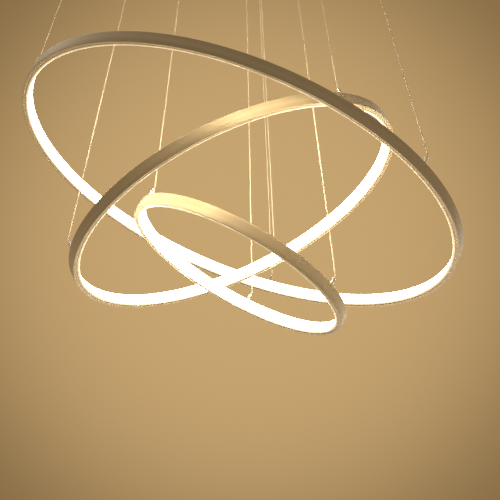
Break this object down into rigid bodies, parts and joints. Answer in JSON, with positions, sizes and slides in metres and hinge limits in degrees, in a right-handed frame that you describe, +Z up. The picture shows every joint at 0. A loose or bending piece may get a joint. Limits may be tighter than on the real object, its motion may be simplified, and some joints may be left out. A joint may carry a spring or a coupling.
{
  "type": "led ring chandelier",
  "caption": "Pendant light of tilted LED rings of falling size, each a slim channel with an opal inner diffuser, hung by thin cables from a round ceiling canopy.",
  "frame": {"origin": "centre of the ceiling plate's top face, between the two mounting slots", "axes": "+Z up into the ceiling, +X through the two mounting slots; the picture looks along +Y"},
  "size_m": [0.7545, 0.7925, 1.4703],
  "materials": {
    "ring_aluminium": "fine lengthwise grain, satin",
    "opal_diffuser": "opal, lit from behind",
    "strip_board": "white solder mask",
    "led_phosphor": "soft",
    "bare_aluminium": "mill",
    "nickel_fitting": "polished nickel",
    "zinc_screw": "zinc plated",
    "zinc_plate": "zinc plated",
    "spring_steel": "drawn wire",
    "cable_sheath": "pale sheath over a steel core",
    "lead_sheath": "PVC",
    "canopy_paint": "satin powder coat",
    "black_rubber": "matt",
    "white_nylon": "moulded",
    "driver_plastic": "moulded",
    "circuit_board": "solder mask"
  },
  "bodies": {
    "canopy": {"board_standoffs": "zinc_screw", "cable_grip_bodies": "nickel_fitting", "cable_grip_nuts": "zinc_screw", "cable_tails": "cable_sheath", "cable_terminal_board": "white_nylon", "canopy_cover": "canopy_paint", "canopy_side_screws": "nickel_fitting", "ceiling_plate": "zinc_plate", "ceiling_plate_screws": "zinc_screw", "internal_leads": "lead_sheath", "led_driver_case": "driver_plastic", "led_driver_circuit": "circuit_board", "led_driver_lid": "driver_plastic", "mains_terminal_block": "white_nylon", "ring_1_cable_1": "cable_sheath", "ring_1_cable_2": "cable_sheath", "ring_1_cable_3": "cable_sheath", "ring_1_release_springs": "spring_steel", "ring_2_cable_1": "cable_sheath", "ring_2_cable_2": "cable_sheath", "ring_2_cable_3": "cable_sheath", "ring_2_release_springs": "spring_steel", "ring_3_cable_1": "cable_sheath", "ring_3_cable_2": "cable_sheath", "ring_3_cable_3": "cable_sheath", "ring_3_release_springs": "spring_steel", "supply_grommet": "black_rubber"},
    "ring_1": {"ring_1_anchor_screws": "zinc_screw", "ring_1_cable_anchors": "nickel_fitting", "ring_1_cable_ends": "cable_sheath", "ring_1_diffuser": "opal_diffuser", "ring_1_housing": "ring_aluminium", "ring_1_led_chips": "led_phosphor", "ring_1_led_strip": "strip_board", "ring_1_splice_bars": "bare_aluminium"},
    "ring_2": {"ring_2_anchor_screws": "zinc_screw", "ring_2_cable_anchors": "nickel_fitting", "ring_2_cable_ends": "cable_sheath", "ring_2_diffuser": "opal_diffuser", "ring_2_housing": "ring_aluminium", "ring_2_led_chips": "led_phosphor", "ring_2_led_strip": "strip_board", "ring_2_splice_bars": "bare_aluminium"},
    "ring_3": {"ring_3_anchor_screws": "zinc_screw", "ring_3_cable_anchors": "nickel_fitting", "ring_3_cable_ends": "cable_sheath", "ring_3_diffuser": "opal_diffuser", "ring_3_housing": "ring_aluminium", "ring_3_led_chips": "led_phosphor", "ring_3_led_strip": "strip_board", "ring_3_splice_bars": "bare_aluminium"},
    "ring_1_release_plunger_1": {"ring_1_release_plunger_1": "nickel_fitting"},
    "ring_1_release_plunger_2": {"ring_1_release_plunger_2": "nickel_fitting"},
    "ring_1_release_plunger_3": {"ring_1_release_plunger_3": "nickel_fitting"},
    "ring_2_release_plunger_1": {"ring_2_release_plunger_1": "nickel_fitting"},
    "ring_2_release_plunger_2": {"ring_2_release_plunger_2": "nickel_fitting"},
    "ring_2_release_plunger_3": {"ring_2_release_plunger_3": "nickel_fitting"},
    "ring_3_release_plunger_1": {"ring_3_release_plunger_1": "nickel_fitting"},
    "ring_3_release_plunger_2": {"ring_3_release_plunger_2": "nickel_fitting"},
    "ring_3_release_plunger_3": {"ring_3_release_plunger_3": "nickel_fitting"}
  },
  "joints": [
    {"name": "ring_1_height", "type": "slide", "parent": "canopy", "child": "ring_1", "axis": [0, 0, 1], "range_m": [0, 0.4], "deforming": ["ring_1_cable_1", "ring_1_cable_2", "ring_1_cable_3"]},
    {"name": "ring_2_height", "type": "slide", "parent": "canopy", "child": "ring_2", "axis": [0, 0, 1], "range_m": [0, 0.2], "deforming": ["ring_2_cable_1", "ring_2_cable_2", "ring_2_cable_3"]},
    {"name": "ring_3_height", "type": "slide", "parent": "canopy", "child": "ring_3", "axis": [0, 0, 1], "range_m": [0, 0.3], "deforming": ["ring_3_cable_1", "ring_3_cable_2", "ring_3_cable_3"]},
    {"name": "ring_1_cable_release_1", "type": "slide", "parent": "canopy", "child": "ring_1_release_plunger_1", "axis": [0, 0, 1], "range_m": [0, 0.0025], "stiffness_N_per_m": 300, "springref_m": -0.004, "deforming": ["ring_1_release_springs"]},
    {"name": "ring_1_cable_release_2", "type": "slide", "parent": "canopy", "child": "ring_1_release_plunger_2", "axis": [0, 0, 1], "range_m": [0, 0.0025], "stiffness_N_per_m": 300, "springref_m": -0.004, "deforming": ["ring_1_release_springs"]},
    {"name": "ring_1_cable_release_3", "type": "slide", "parent": "canopy", "child": "ring_1_release_plunger_3", "axis": [0, 0, 1], "range_m": [0, 0.0025], "stiffness_N_per_m": 300, "springref_m": -0.004, "deforming": ["ring_1_release_springs"]},
    {"name": "ring_2_cable_release_1", "type": "slide", "parent": "canopy", "child": "ring_2_release_plunger_1", "axis": [0, 0, 1], "range_m": [0, 0.0025], "stiffness_N_per_m": 300, "springref_m": -0.004, "deforming": ["ring_2_release_springs"]},
    {"name": "ring_2_cable_release_2", "type": "slide", "parent": "canopy", "child": "ring_2_release_plunger_2", "axis": [0, 0, 1], "range_m": [0, 0.0025], "stiffness_N_per_m": 300, "springref_m": -0.004, "deforming": ["ring_2_release_springs"]},
    {"name": "ring_2_cable_release_3", "type": "slide", "parent": "canopy", "child": "ring_2_release_plunger_3", "axis": [0, 0, 1], "range_m": [0, 0.0025], "stiffness_N_per_m": 300, "springref_m": -0.004, "deforming": ["ring_2_release_springs"]},
    {"name": "ring_3_cable_release_1", "type": "slide", "parent": "canopy", "child": "ring_3_release_plunger_1", "axis": [0, 0, 1], "range_m": [0, 0.0025], "stiffness_N_per_m": 300, "springref_m": -0.004, "deforming": ["ring_3_release_springs"]},
    {"name": "ring_3_cable_release_2", "type": "slide", "parent": "canopy", "child": "ring_3_release_plunger_2", "axis": [0, 0, 1], "range_m": [0, 0.0025], "stiffness_N_per_m": 300, "springref_m": -0.004, "deforming": ["ring_3_release_springs"]},
    {"name": "ring_3_cable_release_3", "type": "slide", "parent": "canopy", "child": "ring_3_release_plunger_3", "axis": [0, 0, 1], "range_m": [0, 0.0025], "stiffness_N_per_m": 300, "springref_m": -0.004, "deforming": ["ring_3_release_springs"]}
  ]
}
